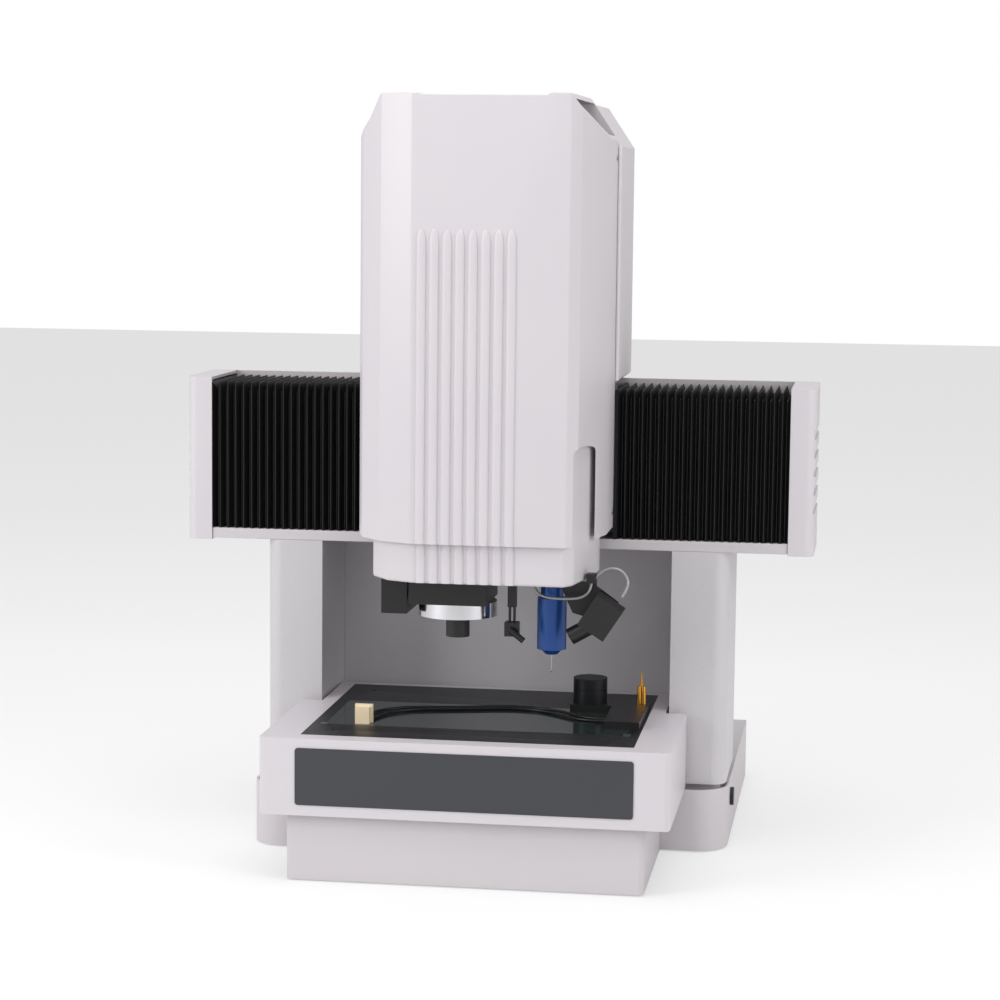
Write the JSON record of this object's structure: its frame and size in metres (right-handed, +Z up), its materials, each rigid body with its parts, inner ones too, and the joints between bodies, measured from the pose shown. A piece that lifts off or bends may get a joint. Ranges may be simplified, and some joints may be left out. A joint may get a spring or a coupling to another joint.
{
  "type": "coordinate measuring machine",
  "caption": "Bench-top bridge measuring machine: a covered head moves across a fixed beam and down over a glass table that moves front to back, with a lens, a ring light and a touch probe.",
  "frame": {"origin": "on the floor, under the middle of the machine at rest", "axes": "+X to the right, +Y towards the back, +Z up"},
  "size_m": [0.859, 0.7522, 1.011],
  "materials": {
    "cast_paint": "textured light grey paint",
    "sheet_paint": "smooth light grey paint",
    "moulded_cover": "satin light grey moulding",
    "name_plate_film": "satin charcoal film with an orange stripe",
    "bellows_cloth": "coated black cloth",
    "ground_steel": "ground and polished",
    "blackened_steel": "black oxide",
    "black_anodised": "satin black anodised",
    "machined_aluminium": "milled",
    "ring_metal": "bright ring",
    "probe_blue": "satin blue anodised",
    "stage_glass": "polished greenish plate glass",
    "diffuser": "opal diffuser",
    "ceramic": "cream ceramic tile",
    "pin_gold": "gilded",
    "feet_rubber": "black rubber",
    "cable_jacket": "black cable jacket",
    "braid": "grey braided jacket"
  },
  "bodies": {
    "frame": {"levelling_feet": "feet_rubber", "base_casting": "cast_paint", "base_front_cover": "sheet_paint", "base_side_cover_left": "sheet_paint", "base_side_cover_right": "sheet_paint", "base_rear_cover": "sheet_paint", "side_plug": "cable_jacket", "column_left": "cast_paint", "column_right": "cast_paint", "rear_panel": "cast_paint", "beam_bottom_rail": "sheet_paint", "crossbeam": "cast_paint", "beam_rear_cover": "sheet_paint", "end_cap_left": "moulded_cover", "end_cap_right": "moulded_cover", "bellows_left": "bellows_cloth", "bellows_right": "bellows_cloth", "guide_rails": "ground_steel", "screw_bearings": "blackened_steel", "axis_motors": "blackened_steel"},
    "x_screw_rotor": {"x_screw": "ground_steel"},
    "y_screw_rotor": {"y_screw": "ground_steel"},
    "z_screw_rotor": {"z_screw": "ground_steel"},
    "table": {"y_blocks_and_nut": "ground_steel", "table_plate": "machined_aluminium", "table_cover": "moulded_cover", "table_frame": "black_anodised", "name_plate": "name_plate_film", "stage_glass": "stage_glass", "backlight_panel": "diffuser", "glass_clips": "ground_steel", "probe_rack": "black_anodised", "probe_module": "blackened_steel", "reference_pins": "pin_gold", "calibration_block": "ceramic", "table_cables": "cable_jacket"},
    "carriage": {"carriage_plate": "machined_aluminium", "x_blocks_and_nut": "ground_steel", "bellows_flanges": "blackened_steel", "head_cover": "moulded_cover", "head_rear_cover": "moulded_cover", "z_guide_rails": "ground_steel", "z_screw_bearings": "blackened_steel", "z_motor": "blackened_steel", "cover_screws": "ground_steel"},
    "ram": {"ram_plate": "machined_aluminium", "z_blocks_and_nut": "ground_steel", "inner_cover": "moulded_cover", "head_plate": "black_anodised", "optics_housing": "black_anodised", "ring_light": "ring_metal", "objective": "black_anodised", "laser_block": "black_anodised", "lamp_post": "black_anodised", "touch_probe": "probe_blue", "stylus": "ground_steel", "stylus_camera": "black_anodised", "camera_bracket": "black_anodised", "head_cables": "braid"},
    "lamp": {"spot_lamp": "black_anodised"}
  },
  "joints": [
    {"name": "x_slide", "type": "slide", "parent": "frame", "child": "carriage", "axis": [1, 0, 0], "range_m": [-0.15, 0.15], "deforming": ["bellows_left", "bellows_right"]},
    {"name": "y_slide", "type": "slide", "parent": "frame", "child": "table", "axis": [0, 1, 0], "range_m": [-0.19, 0.01]},
    {"name": "z_slide", "type": "slide", "parent": "carriage", "child": "ram", "axis": [0, 0, 1], "range_m": [-0.06, 0.14]},
    {"name": "x_screw_turn", "type": "hinge", "parent": "frame", "child": "x_screw_rotor", "pos_m": [0, -0.0659, 0.512], "axis": [1, 0, 0], "range_deg": [-5401, 5401]},
    {"name": "y_screw_turn", "type": "hinge", "parent": "frame", "child": "y_screw_rotor", "pos_m": [0, 0, 0.112], "axis": [0, 1, 0], "range_deg": [-6841, 361]},
    {"name": "z_screw_turn", "type": "hinge", "parent": "carriage", "child": "z_screw_rotor", "pos_m": [0, -0.1239, 0.6], "axis": [0, 0, 1], "range_deg": [-2161, 5041]},
    {"name": "lamp_tilt", "type": "hinge", "parent": "ram", "child": "lamp", "pos_m": [0.0455, -0.2569, 0.322], "axis": [0, 1, 0], "range_deg": [-50, 40]}
  ],
  "couplings": [
    {"joint": "x_screw_turn", "follows": "x_slide", "rad_per_m": 628.32},
    {"joint": "y_screw_turn", "follows": "y_slide", "rad_per_m": 628.32},
    {"joint": "z_screw_turn", "follows": "z_slide", "rad_per_m": 628.32}
  ]
}
